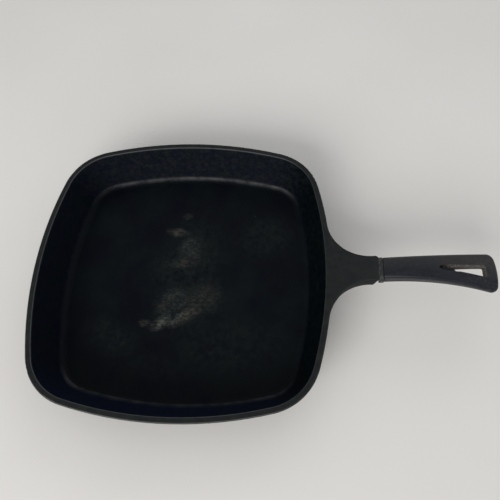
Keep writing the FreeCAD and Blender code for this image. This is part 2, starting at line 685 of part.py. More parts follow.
def frame_in(sketch):
    """A square about the sketch's origin, so that a Pocket removes what lies round the outline in it."""
    reach, formula = size("grip_length") + 2 * size("way_out"), "grip_length + 2 * way_out"
    lines = polygon(sketch, [(-reach, -reach), (reach, -reach), (reach, reach), (-reach, reach)])
    for line in lines[::2]:
        constrain(sketch, "Horizontal", line)
    for line in lines[1::2]:
        constrain(sketch, "Vertical", line)
    for kind, line in (("DistanceX", lines[1]), ("DistanceY", lines[2])):
        constrain(sketch, kind, -1, 1, line, 1, reach, formula=formula)
    for kind, line in (("DistanceX", lines[3]), ("DistanceY", lines[0])):
        constrain(sketch, kind, line, 1, -1, 1, reach, formula=formula)


def cut_hanging_slot(body):
    """The tapered slot through the grip, with rounded edges on both faces."""
    sketch = draw_sketch(body, "slot_outline")
    narrow, wide, bend = size("slot_narrow"), size("slot_wide"), size("slot_corner")
    start, end = Vector(size("slot_start") + narrow, 0, 0), size("slot_end")
    corner = Vector(end - bend, wide - bend, 0)
    reach = corner - start
    side = math.degrees(math.atan2(reach.y, reach.x) + math.acos((narrow - bend) / reach.Length))
    normal = Vector(math.cos(math.radians(side)), math.sin(math.radians(side)), 0)
    inner, outer = start + normal * narrow, corner + normal * bend
    outline = Outline(sketch)
    high_bend = outline.arc((corner.x, corner.y), bend, 0, side)
    outline.line((outer.x, outer.y), (inner.x, inner.y), smooth=True)
    tip = outline.arc((start.x, 0), narrow, side, 360 - side)
    outline.line((inner.x, -inner.y), (outer.x, -outer.y), smooth=True)
    low_bend = outline.arc((corner.x, -corner.y), bend, -side, 0)
    end_wall = outline.line((end, -corner.y), (end, corner.y), smooth=True)
    outline.close()
    constrain(sketch, "Radius", tip, narrow, formula="slot_narrow")
    place_centre(sketch, tip, (start.x, "slot_start + slot_narrow"), None)
    for arc in (low_bend, high_bend):
        constrain(sketch, "Radius", arc, bend, formula="slot_corner")
    constrain(sketch, "DistanceX", -1, 1, end_wall, 1, end, formula="slot_end")
    constrain(sketch, "DistanceY", -1, 1, high_bend, 3, corner.y, formula="slot_wide - slot_corner")
    constrain(sketch, "DistanceY", low_bend, 3, -1, 1, corner.y, formula="slot_wide - slot_corner")
    extrude(body, "PartDesign::Pocket", "hanging_slot", sketch, "2 * way_out", reverse=True, taper="slot_draft")
    tilt = math.radians(size("draw_tilt"))
    flare = 2 * size("way_out") * math.tan(math.radians(size("slot_draft")))

    def on_slot(edge):
        points = [v.Point for v in edge.Vertexes]
        plan = [p.x * math.cos(tilt) - p.z * math.sin(tilt) for p in points]
        rise = abs(points[0].z - points[-1].z) if len(points) > 1 else 0
        upright = rise > MOST * edge.Length
        return (min(plan) > size("slot_start") - flare and max(plan) < end + flare and not upright
                and max(abs(p.y) for p in points) < wide + flare)

    round_edges(body, "slot_edges", "slot_round", on_slot)


def turned(body, kind, name, corners, formulas):
    """A full turn about the handle frame's x. corners are (x, radius); formulas gives each one's two."""
    sketch = new_sketch(body, f"{name}_profile", "XZ_Plane")
    lines = polygon(sketch, corners)
    for line, (x, r), (x_formula, r_formula) in zip(lines, corners, formulas):
        pin(sketch, "DistanceX", line, x, x_formula)
        pin(sketch, "DistanceY", line, r, r_formula)
    feature = body.newObject(kind, name)
    feature.Profile = sketch
    feature.ReferenceAxis = (sketch, ["H_Axis"])
    feature.Angle = 360
    sketch.Visibility = False
    doc.recompute()
    return feature


def pin(sketch, kind, line, value, formula):
    """Fixes one coordinate of a line's start point."""
    if formula is None:
        constrain(sketch, "PointOnObject", line, 1, -1 if kind == "DistanceY" else -2)
    else:
        constrain(sketch, kind, -1, 1, line, 1, value, formula=formula)


def cut_screw_way(body):
    """The screw's bore and the recess for its head, which runs on into the slot and out of the top."""
    start, seat, end = size("tenon_length"), size("recess_start"), size("recess_end")
    bore, recess = size("bore_radius"), size("recess_radius")
    corners = [(start, 0), (end, 0), (end, recess), (seat, recess), (seat, bore), (start, bore)]
    formulas = [("tenon_length", None), ("recess_end", None), ("recess_end", "recess_radius"),
                ("recess_start", "recess_radius"), ("recess_start", "bore_radius"),
                ("tenon_length", "bore_radius")]
    turned(body, "PartDesign::Groove", "screw_way", corners, formulas)


def make_grip():
    """The moulded grip: arched, waisted, with the hanging slot, the tenon's way and the screw's way."""
    body = new_body("grip", in_handle=True)
    add_grip_side(body)
    trim_grip_plan(body)
    front = size("ferrule_length") + 2 * size("seat_gap")

    def lengthwise(edge):
        """A bowed edge that runs along the grip, such as where a side meets the top."""
        box = edge.BoundBox
        return box.XLength > size("grip_length") / 2 and box.ZLength > size("ferrule_round")

    round_edges(body, "long_edges", "long_round", lengthwise)
    round_edges(body, "front_edge", "front_round",
                lambda e: near(e.BoundBox.XMin, front) and near(e.BoundBox.XMax, front))
    cut_hanging_slot(body)
    cut_tenon_way(body, "ferrule_length + 2 * seat_gap", "tenon_length + tenon_end_gap - ferrule_length")
    cut_screw_way(body)
    return body


def make_screw():
    """A slotted cheese-head screw. The thread is drawn as a plain cylinder of its outer size."""
    body = new_body("handle_screw", in_handle=True)
    head = size("recess_start") + size("washer_thickness") + 2 * size("seat_gap")
    head_formula = "recess_start + washer_thickness + 2 * seat_gap"
    tip, top, point = head - size("screw_length"), head + size("head_height"), size("screw_point")
    thread, wide, soft = size("screw_radius"), size("head_radius"), size("head_round")
    corners = [(tip, 0), (top, 0), (top, wide), (head, wide), (head, thread),
               (tip + point, thread), (tip, thread - point)]
    tip_formula, top_formula = f"{head_formula} - screw_length", f"{head_formula} + head_height"
    formulas = [(tip_formula, None), (top_formula, None), (top_formula, "head_radius"),
                (head_formula, "head_radius"), (head_formula, "screw_radius"),
                (f"{tip_formula} + screw_point", "screw_radius"),
                (tip_formula, "screw_radius - screw_point")]
    turned(body, "PartDesign::Revolution", "blank", corners, formulas)
    round_edges(body, "head_edge", "head_round",
                lambda e: near(e.BoundBox.XMin, top) and near(e.BoundBox.YMax, wide))
    drive = cross_sketch(body, "drive_outline", top_formula)
    half_w, reach = size("drive_width") / 2, wide + soft
    lines = polygon(drive, [(-reach, -half_w), (reach, -half_w), (reach, half_w), (-reach, half_w)])
    for line in lines[::2]:
        constrain(drive, "Horizontal", line)
    for line in lines[1::2]:
        constrain(drive, "Vertical", line)
    constrain(drive, "DistanceX", -1, 1, lines[1], 1, reach, formula="head_radius + head_round")
    constrain(drive, "DistanceX", lines[3], 1, -1, 1, reach, formula="head_radius + head_round")
    constrain(drive, "DistanceY", -1, 1, lines[2], 1, half_w, formula="drive_width / 2")
    constrain(drive, "DistanceY", lines[0], 1, -1, 1, half_w, formula="drive_width / 2")
    extrude(body, "PartDesign::Pocket", "drive_slot", drive, "drive_depth")
    return body


def make_washer():
    """A split lock washer under the screw's head, drawn flat as it is when tight."""
    body = new_body("lock_washer", in_handle=True)
    sketch = cross_sketch(body, "split_ring", "recess_start + seat_gap")
    outer, inner, gap = size("washer_radius"), size("washer_bore"), size("washer_split") / 2
    out_turn, in_turn = (math.degrees(math.asin(gap / r)) for r in (outer, inner))
    outline = Outline(sketch)
    rim = outline.arc((0, 0), outer, out_turn, 360 - out_turn)
    low = outline.line((math.sqrt(outer**2 - gap**2), -gap), (math.sqrt(inner**2 - gap**2), -gap))
    bore = outline.arc((0, 0), inner, 360 - in_turn, in_turn, smooth=False)
    high = outline.line((math.sqrt(inner**2 - gap**2), gap), (math.sqrt(outer**2 - gap**2), gap))
    outline.pieces[0] = (*outline.pieces[0][:2], False)
    outline.close()
    for arc, alias in ((rim, "washer_radius"), (bore, "washer_bore")):
        constrain(sketch, "Coincident", arc, 3, -1, 1)
        constrain(sketch, "Radius", arc, size(alias), formula=alias)
    for line in (low, high):
        constrain(sketch, "Horizontal", line)
    constrain(sketch, "DistanceY", low, 1, -1, 1, gap, formula="washer_split / 2")
    constrain(sketch, "DistanceY", -1, 1, high, 1, gap, formula="washer_split / 2")
    extrude(body, "PartDesign::Pad", "ring", sketch, "washer_thickness")
    return body


def write_parts():
    os.makedirs("parts", exist_ok=True)
    for thing in doc.Objects:
        if {"Invalid", "Error"} & set(thing.State):
            raise RuntimeError(f"{thing.Label} failed: {thing.State}")
    for name in NODES:
        shape = doc.getObjectsByLabel(name)[0].Shape
        if shape.isNull() or not shape.isValid():
            raise RuntimeError(f"{name} has no valid shape")
        print(name, "solids", len(shape.Solids), "volume", round(shape.Volume), "mm3")
        shape.exportStep(f"parts/{name}.step")


fill_sheet()
make_pan_casting()
make_ferrule()
make_grip()
make_screw()
make_washer()
doc.recompute()
write_parts()
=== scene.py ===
import json
import math
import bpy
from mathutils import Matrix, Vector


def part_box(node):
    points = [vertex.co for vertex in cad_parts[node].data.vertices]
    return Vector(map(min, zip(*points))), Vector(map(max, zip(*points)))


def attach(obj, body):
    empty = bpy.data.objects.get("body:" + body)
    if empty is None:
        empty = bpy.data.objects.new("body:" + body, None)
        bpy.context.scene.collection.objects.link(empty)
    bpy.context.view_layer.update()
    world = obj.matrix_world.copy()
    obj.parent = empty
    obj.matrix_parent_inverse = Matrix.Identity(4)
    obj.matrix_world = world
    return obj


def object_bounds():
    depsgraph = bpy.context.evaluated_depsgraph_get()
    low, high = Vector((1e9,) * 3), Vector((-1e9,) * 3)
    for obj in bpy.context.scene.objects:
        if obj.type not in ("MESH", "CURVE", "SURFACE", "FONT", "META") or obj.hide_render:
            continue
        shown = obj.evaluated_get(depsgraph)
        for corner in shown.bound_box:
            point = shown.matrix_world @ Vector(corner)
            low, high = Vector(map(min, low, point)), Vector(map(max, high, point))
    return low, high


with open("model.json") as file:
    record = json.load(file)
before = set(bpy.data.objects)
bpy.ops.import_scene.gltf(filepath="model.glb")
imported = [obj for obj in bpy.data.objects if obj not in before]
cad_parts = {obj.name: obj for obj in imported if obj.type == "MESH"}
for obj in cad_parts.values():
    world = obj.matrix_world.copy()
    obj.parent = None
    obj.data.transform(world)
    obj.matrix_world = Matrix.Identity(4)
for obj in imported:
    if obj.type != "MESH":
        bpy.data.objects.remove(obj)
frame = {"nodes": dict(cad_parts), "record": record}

from types import SimpleNamespace

import bpy
from mathutils import Matrix, Vector
from mathutils.bvhtree import BVHTree

CAD_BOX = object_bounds()

MM = 0.001

# The heights and edges that the finish follows, all read from the frame.
PAN_LOW, PAN_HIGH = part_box("pan_casting")
GRIP_LOW, GRIP_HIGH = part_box("grip")
MOUNTS = {mount["name"]: Vector(mount["pos_m"]) for mount in frame["record"]["mounts"]}
FLOOR_LEVEL = MOUNTS["cooking_floor"].z
RIM_LEVEL = MOUNTS["lid_rest"].z
RIM_HALF = PAN_HIGH.y

# The camera stands in front of the pan and a little to its right, and looks down on it.
CAMERA_FROM_RIM = Vector((0.08566, -0.16551, 0.38931))
CAMERA_YAW = math.radians(8.52)
CAMERA_PITCH = math.radians(25.3)
CAMERA_ROLL = math.radians(-6.52)
CAMERA_LENS = 36.24
SENSOR_WIDTH = 36.0
CLIP_START = 0.01

# The lights: name, place, size in metres, power in watts and colour.
LIGHTS = [
    ("window", (-0.80, -1.90, 1.25), (1.9, 1.1), 50, (1.0, 0.975, 0.94)),
    ("back_fill", (0.6, 1.8, 1.4), (1.8, 0.9), 6, (0.96, 0.97, 1.0)),
]
SURROUND_COLOUR = (0.97, 0.98, 1.0, 1.0)
SURROUND_STRENGTH = 0.56
TABLE_SIZE = 6.0

# The parting line of the grip: half its height, how far it stands out, how many points each side
# and the end have, and how far behind the grip's front it starts.
FLASH_HALF = 0.22 * MM
FLASH_RISE = 0.14 * MM
FLASH_STEPS = 40
FLASH_FRONT = 3 * MM
# The end's points look out from this share of the grip's half width in front of its end.
END_SHARE = 0.9
# For finding the grip's widest line: where rays start, the step between them in height, and how
# far short of the widest point still counts as widest.
RAY_REACH = 60 * MM
LEVEL_STEP = 0.15 * MM
WIDEST_SLACK = 0.04 * MM


class Graph:
    """A material's node tree. Lengths given to its methods are in millimetres."""

    def __init__(self, name):
        self.material = bpy.data.materials.new(name)
        self.material.use_nodes = True
        self.tree = self.material.node_tree
        self.shader = self.tree.nodes["Principled BSDF"]
        self.place = self.add("ShaderNodeTexCoord").outputs["Object"]
        self.normal = self.add("ShaderNodeNewGeometry").outputs["Normal"]

    def add(self, kind, **settings):
        """A new node of that kind, with its settings."""
        node = self.tree.nodes.new(kind)
        for key, value in settings.items():
            setattr(node, key, value)
        return node

    def feed(self, socket, value):
        """Links a socket's value in, or sets a plain number or colour."""
        if isinstance(value, bpy.types.NodeSocket):
            self.tree.links.new(value, socket)
        elif isinstance(value, (tuple, list, Vector)) and socket.type == "RGBA":
            socket.default_value = (*value[:3], 1.0)
        else:
            socket.default_value = value

    def part(self, vector, axis):
        """One coordinate of a vector: axis is X, Y or Z."""
        node = self.add("ShaderNodeSeparateXYZ")
        self.feed(node.inputs[0], vector)
        return node.outputs[axis]

    def sum(self, kind, first, second=0.0, clamp=False):
        """A Math node of that kind on one or two values."""
        node = self.add("ShaderNodeMath", operation=kind, use_clamp=clamp)
        self.feed(node.inputs[0], first)
        self.feed(node.inputs[1], second)
        return node.outputs[0]

    def both(self, *values):
        """The product of several masks."""
        product = values[0]
        for value in values[1:]:
            product = self.sum("MULTIPLY", product, value)
        return product

    def either(self, *values):
        """The largest of several masks."""
        largest = values[0]
        for value in values[1:]:
            largest = self.sum("MAXIMUM", largest, value)
        return largest

    def ramp(self, value, start, end, low=0.0, high=1.0):
        """low before start, high after end, and smooth between. start may be the larger."""
        node = self.add("ShaderNodeMapRange", interpolation_type="SMOOTHSTEP")
        for socket, given in zip(node.inputs, (value, start, end, low, high)):
            self.feed(socket, given)
        return node.outputs[0]

    def noise(self, grain, detail=3.0, rough=0.5, stretch=(1, 1, 1), turn=0.0, where=None):
        """Noise from 0 to 1 with lumps about grain millimetres across, longer by stretch."""
        spread = self.add("ShaderNodeMapping")
        self.feed(spread.inputs["Vector"], where or self.place)
        self.feed(spread.inputs["Rotation"], (0, 0, turn))
        self.feed(spread.inputs["Scale"], [1 / (grain * MM * s) for s in stretch])
        node = self.add("ShaderNodeTexNoise")
        self.feed(node.inputs["Vector"], spread.outputs[0])
        self.feed(node.inputs["Scale"], 1.0)
        self.feed(node.inputs["Detail"], detail)
        self.feed(node.inputs["Roughness"], rough)
        return node.outputs["Fac"]

    def dots(self, spacing, size, keep, where=None):
        """Sparse round dots: about one per spacing, size wide, of which the share keep shows."""
        spread = self.add("ShaderNodeVectorMath", operation="SCALE")
        self.feed(spread.inputs[0], where or self.place)
        self.feed(spread.inputs["Scale"], 1 / (spacing * MM))
        cells = self.add("ShaderNodeTexVoronoi")
        self.feed(cells.inputs["Vector"], spread.outputs[0])
        self.feed(cells.inputs["Scale"], 1.0)
        chosen = self.ramp(self.part(cells.outputs["Color"], "X"), 1 - keep, 1 - keep + 0.01)
        near = self.ramp(cells.outputs["Distance"], size / spacing / 2, size / spacing / 4)
        return self.both(near, chosen)

    def patch(self, where, centre, radii, turn):
        """1 in the middle of an upright oval column, falling to 0 at its edge."""
        spread = self.add("ShaderNodeMapping", vector_type="TEXTURE")
        self.feed(spread.inputs["Vector"], where)
        self.feed(spread.inputs["Location"], (centre[0] * MM, centre[1] * MM, 0))
        self.feed(spread.inputs["Rotation"], (0, 0, math.radians(turn)))
        self.feed(spread.inputs["Scale"], (radii[0] * MM, radii[1] * MM, 1.0))
        length = self.add("ShaderNodeVectorMath", operation="LENGTH")
        self.feed(length.inputs[0], spread.outputs[0])
        return self.ramp(length.outputs["Value"], 1.0, 0.25)

    def warp(self, grain, strength):
        """The place, shifted about by up to strength millimetres."""
        spread = self.add("ShaderNodeVectorMath", operation="SCALE")
        self.feed(spread.inputs[0], self.place)
        self.feed(spread.inputs["Scale"], 1 / (grain * MM))
        node = self.add("ShaderNodeTexNoise")
        self.feed(node.inputs["Vector"], spread.outputs[0])
        self.feed(node.inputs["Scale"], 1.0)
        self.feed(node.inputs["Detail"], 4.0)
        centred = self.add("ShaderNodeVectorMath", operation="SUBTRACT")
        self.feed(centred.inputs[0], node.outputs["Color"])
        centred.inputs[1].default_value = (0.5, 0.5, 0.5)
        scaled = self.add("ShaderNodeVectorMath", operation="SCALE")
        self.feed(scaled.inputs[0], centred.outputs[0])
        self.feed(scaled.inputs["Scale"], 2 * strength * MM)
        moved = self.add("ShaderNodeVectorMath", operation="ADD")
        self.feed(moved.inputs[0], self.place)
        self.feed(moved.inputs[1], scaled.outputs[0])
        return moved.outputs[0]

    def mix(self, factor, first, second):
        """Two colours mixed."""
        node = self.add("ShaderNodeMix", data_type="RGBA")
        self.feed(node.inputs[0], factor)
        self.feed(node.inputs[6], first)
        self.feed(node.inputs[7], second)
        return node.outputs[2]

    def bump(self, height, depth, base=None):
        """Bump of that depth in millimetres, on top of another bump."""
        node = self.add("ShaderNodeBump")
        self.feed(node.inputs["Strength"], 1.0)
        self.feed(node.inputs["Distance"], depth * MM)
        self.feed(node.inputs["Height"], height)
        if base is not None:
            self.feed(node.inputs["Normal"], base)
        return node.outputs[0]

    def finish(self, colour, roughness, normal=None, **plain):
        """Feeds the shader. plain gives its other inputs by name, with _ for each space."""
        self.feed(self.shader.inputs["Base Color"], colour)
        self.feed(self.shader.inputs["Roughness"], roughness)
        if normal is not None:
            self.feed(self.shader.inputs["Normal"], normal)
        for name, value in plain.items():
            self.feed(self.shader.inputs[name.replace("_", " ")], value)
        return self.material


# Residue on the cooking floor: centre, half lengths in millimetres, turn in degrees, strength.
RESIDUE = [
    ((-19, -39), (15, 8), 34, 0.95),
    ((0, -33), (25, 8), 30, 0.66),
    ((-12, -20), (22, 18), 34, 0.40),
    ((16, -16), (24, 18), 30, 0.26),
    ((-34, -40), (8, 5), 0, 0.36),
    ((-13, 50), (15, 6), -8, 0.60),
    ((0, 33), (15, 19), 10, 0.36),
    ((-8, 18), (22, 7), 6, 0.34),
    ((-6, 68), (6, 5), 0, 0.30),
]
# Broad hazes where the seasoning is thinner, in the same terms.
HAZE = [
    ((0, 8), (44, 82), -10, 1.00),
    ((4, -26), (52, 36), 26, 0.80),
    ((70, 46), (44, 32), 20, 0.80),
    ((44, -60), (66, 34), 8, 0.75),
    ((-62, -54), (40, 20), -30, 0.95),
    ((-20, -78), (60, 18), 0, 0.45),
]

# Colours of the casting, linear.
FLOOR_BLUE = (0.0012, 0.0019, 0.0044)
FLOOR_GREEN = (0.0028, 0.0048, 0.0058)
WALL_BLUE = (0.0036, 0.0046, 0.0104)
WALL_GREEN = (0.0030, 0.0056, 0.0064)
# WALL_NAVY is a painted bluish reflection; the scoured tone two lines down is also painted light on the
# +Y wall.
WALL_NAVY = (0.0036, 0.0062, 0.0158)
WALL_DARK = (0.0005, 0.0020, 0.0028)
WALL_SCOURED_AND_LIT = (0.0125, 0.0150, 0.0150)
BARE_DARK = (0.0078, 0.0096, 0.0102)
BARE_LIGHT = (0.0150, 0.0168, 0.0168)
BARE_SPECK = (0.030, 0.031, 0.029)
NECK_GREY = (0.0185, 0.0205, 0.0215)
# Pale rim edges: worn seasoning together with a painted highlight.
EDGE_WEAR_AND_HIGHLIGHT = (0.042, 0.046, 0.047)
HAZE_GREEN = (0.0105, 0.0150, 0.0135)
RESIDUE_GREEN = (0.062, 0.071, 0.065)
RESIDUE_WARM = (0.072, 0.067, 0.056)
RUST = (0.026, 0.018, 0.013)
# The blisters' grey, a painted glint.
BLISTER_PAINTED_GLINT = (0.045, 0.045, 0.043)

# Colours of the grip and the fittings, linear.
# Painted light and painted shade on the grip: its +Y side is painted lighter with the next pair, its -Y
# side darker with the shaded pair.
PAINTED_LIT_DARK = (0.0165, 0.0170, 0.0190)
PAINTED_LIT_LIGHT = (0.0260, 0.0250, 0.0255)
SHADED_DARK = (0.0034, 0.0052, 0.0096)
SHADED_LIGHT = (0.0072, 0.0094, 0.0150)
SCUFF_GREY = (0.044, 0.045, 0.048)
DUST_GREY = (0.052, 0.048, 0.046)
# Chipped phenolic inside the slot; the paler one is also painted light.
CHIP_DARK = (0.020, 0.019, 0.021)
CHIP_AND_PAINTED_LIGHT = (0.105, 0.093, 0.082)
# The parting line's colours, a painted highlight.
FLASH_HIGHLIGHT_DIM = (0.055, 0.050, 0.045)
FLASH_HIGHLIGHT_BRIGHT = (0.190, 0.168, 0.142)
BLACKING = (0.016, 0.018, 0.018)
RUBBED_STEEL = (0.075, 0.080, 0.076)
ZINC = (0.36, 0.35, 0.33)
DIRT = (0.06, 0.055, 0.05)
TABLE_DARK = (0.655, 0.640, 0.615)
TABLE_LIGHT = (0.685, 0.672, 0.650)

# Where the grip's raw surface starts and is complete, along the grip and to either side of its axis.
# That raw surface is also painted paler, a painted light in the slot that lies in shade.
RAW_START = 0.212
RAW_FULL = 0.220
RAW_HALF = 5.6 * MM
RAW_FULL_HALF = 4.9 * MM
# Where hands and hooks start to dull the grip's end, and where they have dulled it most.
HANDLED_START = 0.226
HANDLED_FULL = 0.258


def pan_zones(g):
    """Masks for the parts of the casting's surface, each 1 inside its part and 0 outside."""
    height = g.part(g.place, "Z")
    along = g.part(g.place, "X")
    across = g.part(g.place, "Y")
    lift = g.part(g.normal, "Z")
    low = g.ramp(height, FLOOR_LEVEL + 1.6 * MM, FLOOR_LEVEL + 0.5 * MM)
    below_rim = g.ramp(height, RIM_LEVEL, RIM_LEVEL - 2 * MM)
    near_floor = g.ramp(height, FLOOR_LEVEL + 9 * MM, FLOOR_LEVEL + 6 * MM)
    at_rim = g.ramp(height, RIM_LEVEL - 1.4 * MM, RIM_LEVEL - 0.5 * MM)
    at_edge = g.ramp(height, RIM_LEVEL - 1.6 * MM, RIM_LEVEL - 0.9 * MM)
    return SimpleNamespace(
        floor=g.both(g.ramp(lift, 0.90, 0.98), low),
        fillet=g.both(g.ramp(lift, 0.99, 0.90), g.ramp(lift, 0.34, 0.60), near_floor),
        top=g.both(at_rim, g.ramp(lift, 0.25, 0.8)),
        edge=g.both(at_edge, g.ramp(lift, 0.20, 0.50), g.ramp(lift, 0.995, 0.93)),
        wall=g.both(g.ramp(lift, 0.9, 0.6), g.ramp(lift, 0.05, 0.2), below_rim),
        outside=g.ramp(lift, 0.05, -0.05),
        neck=g.ramp(along, RIM_HALF, PAN_HIGH.x),
        left=g.ramp(across, 0.55 * RIM_HALF, 0.95 * RIM_HALF),
        right=g.ramp(across, -0.55 * RIM_HALF, -0.95 * RIM_HALF),
        handle_side=g.ramp(along, 0.55 * RIM_HALF, 0.90 * RIM_HALF),
    )


def spots(g, where, table):
    """The strongest of several soft oval patches."""
    return g.either(*[g.both(g.patch(where, *spot[:3]), spot[3]) for spot in table])


def wall_colour(g, zones):
    """The inside of the wall: blue-black with a painted bluish reflection on the -Y side, darkest
    towards the handle, and paler in patches, most on the +Y side: partly scouring, partly painted light
    where that wall faces the window.
    """
    mottle = g.both(g.ramp(g.noise(16, detail=5, rough=0.7), 0.36, 0.66), 0.7)
    colour = g.mix(mottle, WALL_BLUE, WALL_GREEN)
    # A painted bluish reflection on the -Y wall.
    colour = g.mix(zones.right, colour, WALL_NAVY)
    colour = g.mix(zones.handle_side, colour, WALL_DARK)
    # Paler patches on every wall, weighted to the +Y wall: scouring, plus painted light where that wall
    # faces the window.
    patches = g.ramp(g.noise(5, detail=6, rough=0.8), 0.42, 0.72)
    scoured_and_lit = g.both(patches, g.sum("ADD", g.both(zones.left, 0.5), 0.3))
    return g.mix(scoured_and_lit, colour, WALL_SCOURED_AND_LIT)


def bare_colour(g, zones):
    """Iron with little seasoning left, as on the rim, the web and the outside."""
    blotches = g.ramp(g.noise(7, detail=5, rough=0.7), 0.3, 0.75)
    speckle = g.ramp(g.noise(1.4, detail=4, rough=0.7), 0.60, 0.78)
    colour = g.mix(blotches, BARE_DARK, BARE_LIGHT)
    colour = g.mix(speckle, colour, BARE_SPECK)
    return g.mix(g.both(zones.neck, 0.5), colour, NECK_GREY)


def edge_wear_and_highlight(g, zones):
    """Where the rim's edges are painted paler, partly for lost seasoning and partly as a painted
    highlight: least on the neck and on the handle's side.
    """
    patches = g.ramp(g.noise(5, detail=5, rough=0.7), 0.25, 0.6, 0.45, 1.0)
    off_neck = g.ramp(zones.neck, 0.5, 0.0, 0.1, 1.0)
    off_handle_side = g.ramp(zones.handle_side, 0.0, 1.0, 1.0, 0.35)
    return g.both(zones.edge, patches, off_neck, off_handle_side)


def residue_mask(g, zones, ragged):
    """Crumbly residue on the cooking floor."""
    crumbs = g.ramp(g.noise(2.1, detail=6, rough=0.8, stretch=(1.6, 1, 1), turn=-0.4), 0.42, 0.62)
    flakes = g.ramp(g.noise(0.8, detail=4, rough=0.8), 0.40, 0.66)
    broken = g.either(g.both(crumbs, 0.95), g.both(flakes, 0.5), 0.10)
    thickness = g.ramp(g.noise(9, detail=6, rough=0.75, where=ragged), 0.28, 0.60, 0.35, 1.25)
    return g.both(spots(g, ragged, RESIDUE), zones.floor, broken, thickness)


def iron_colour(g, zones, cloud, ragged, residue, blisters):
    """The seasoning, then what has worn it together with a painted highlight on the rim's edges, then
    what lies on it.
    """
    season = g.mix(g.ramp(cloud, 0.35, 0.7), FLOOR_BLUE, FLOOR_GREEN)
    season = g.mix(zones.wall, season, wall_colour(g, zones))
    bared = g.either(zones.top, g.both(zones.outside, 0.6))
    colour = g.mix(bared, season, bare_colour(g, zones))
    # The rim's edges painted paler: partly worn, partly a painted highlight.
    colour = g.mix(edge_wear_and_highlight(g, zones), colour, EDGE_WEAR_AND_HIGHLIGHT)

    wisps = g.ramp(g.noise(6, detail=6, rough=0.75), 0.30, 0.72)
    haze = g.both(spots(g, ragged, HAZE), zones.floor, wisps)
    colour = g.mix(g.both(haze, 0.62), colour, HAZE_GREEN)

    crust = g.mix(g.ramp(g.noise(14, detail=3), 0.4, 0.6), RESIDUE_GREEN, RESIDUE_WARM)
    colour = g.mix(residue, colour, crust)

    rust_patches = g.ramp(g.noise(3.2, detail=6, rough=0.8), 0.56, 0.70)
    rust = g.both(rust_patches, zones.wall, g.sum("ADD", g.both(zones.left, 0.8), 0.12))
    colour = g.mix(rust, colour, RUST)
    # Each small blister painted grey: a painted glint.
    return g.mix(g.both(blisters, 0.7), colour, BLISTER_PAINTED_GLINT)


def iron_roughness(g, zones, cloud, residue):
    """Smoothest on bare seasoning, rougher on the rim, the residue and the outside."""
    rough = g.sum("ADD", g.ramp(cloud, 0.3, 0.7, 0.40, 0.52), g.both(zones.top, 0.14))
    rough = g.sum("ADD", rough, g.both(residue, 0.30))
    return g.sum("ADD", rough, g.both(zones.outside, 0.12), clamp=True)


def iron_gloss(g, zones):
    """Specular level: highest on the rim's edges, and along the fillet where it faces +Y or -Y."""
    facing = g.ramp(g.sum("ABSOLUTE", g.part(g.normal, "Y")), 0.08, 0.40, 0.25, 1.0)
    polish = g.ramp(g.noise(9, detail=4), 0.3, 0.65, 0.10, 0.24)
    edge_gloss = g.ramp(zones.handle_side, 0.0, 1.0, 0.34, 0.12)
    return g.either(g.both(zones.fillet, facing, polish), g.both(zones.edge, edge_gloss),
                    g.both(zones.top, 0.10), 0.06)


def iron_relief(g, residue, blisters):
    """The casting's sandy skin, with pits, caked residue and small blisters."""
    coarse = g.bump(g.noise(2.6, detail=3, rough=0.55), 0.05)
    fine = g.bump(g.noise(0.55, detail=3, rough=0.6), 0.030, coarse)
    pits = g.bump(g.dots(4.5, 0.9, 0.22), -0.05, fine)
    caked = g.bump(residue, 0.06, pits)
    return g.bump(blisters, 0.10, caked)


def cast_iron():
    """Seasoned cast iron: near-black inside, greyer and grainier on the rim, web and outside."""
    g = Graph("cast_iron")
    zones = pan_zones(g)
    ragged = g.warp(9.0, 2.6)
    cloud = g.noise(34, detail=5, rough=0.62)
    residue = residue_mask(g, zones, ragged)
    blisters = g.both(g.dots(15, 1.1, 0.16), g.either(zones.wall, zones.floor))
    colour = iron_colour(g, zones, cloud, ragged, residue, blisters)
    rough = iron_roughness(g, zones, cloud, residue)
    relief = iron_relief(g, residue, blisters)
    return g.finish(colour, rough, relief, Specular_IOR_Level=iron_gloss(g, zones))


